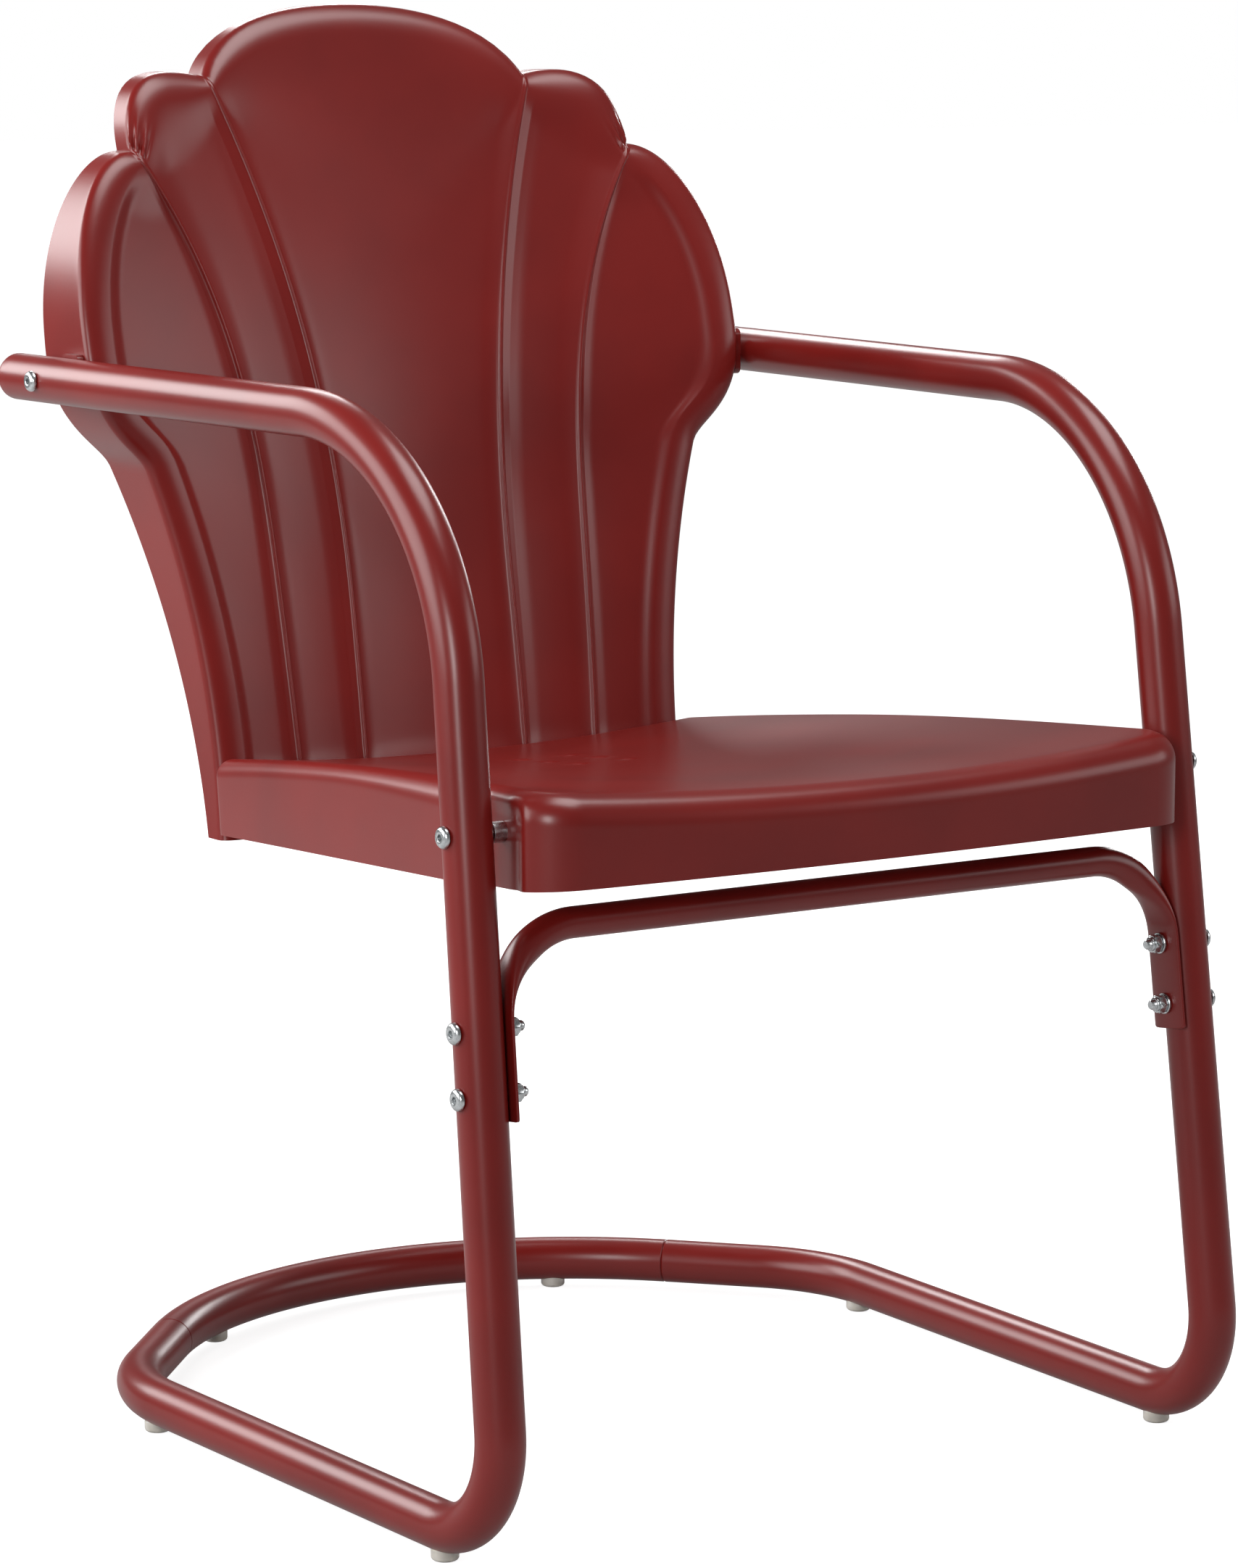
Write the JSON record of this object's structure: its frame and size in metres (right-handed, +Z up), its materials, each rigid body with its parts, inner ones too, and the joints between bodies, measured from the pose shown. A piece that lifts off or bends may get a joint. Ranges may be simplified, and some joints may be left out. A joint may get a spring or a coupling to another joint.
{
  "type": "metal spring lawn chair",
  "caption": "Metal lawn armchair with a dished seat, a petal-shaped stamped back and a bent tube frame that springs back on its floor loop.",
  "frame": {"origin": "on the floor under the middle of the chair's bounding box", "axes": "+Z up, -Y to the front where the sitter's feet are, +X to the sitter's left"},
  "size_m": [0.5596, 0.6076, 0.861],
  "materials": {
    "red_powder_coat": "deep red semi-gloss powder coat",
    "zinc_steel": "bright zinc-plated steel",
    "clear_plastic": "milky translucent nylon"
  },
  "bodies": {
    "floor_frame": {"left_floor_tube": "red_powder_coat", "right_floor_tube": "red_powder_coat", "rear_base_tube": "red_powder_coat", "floor_glides": "clear_plastic", "glide_screws": "zinc_steel"},
    "seat_frame": {"left_arm_tube": "red_powder_coat", "right_arm_tube": "red_powder_coat", "seat_brace": "red_powder_coat", "back_shell": "red_powder_coat", "seat_pan": "red_powder_coat", "left_back_bracket": "red_powder_coat", "right_back_bracket": "red_powder_coat", "seat_side_bolts": "zinc_steel", "seat_side_nuts": "zinc_steel", "seat_spacers": "zinc_steel", "arm_bolts": "zinc_steel", "arm_nuts": "zinc_steel", "brace_bolts": "zinc_steel", "brace_washers": "zinc_steel", "brace_nuts": "zinc_steel", "back_bolts": "zinc_steel", "back_washers": "zinc_steel", "back_nuts": "zinc_steel"}
  },
  "joints": [
    {"name": "frame_flex", "type": "hinge", "parent": "floor_frame", "child": "seat_frame", "pos_m": [0, -0.2739, 0.0869], "axis": [-1, 0, 0], "range_deg": [0, 4], "stiffness_Nm_per_rad": 3500, "springref_deg": -0.5}
  ]
}
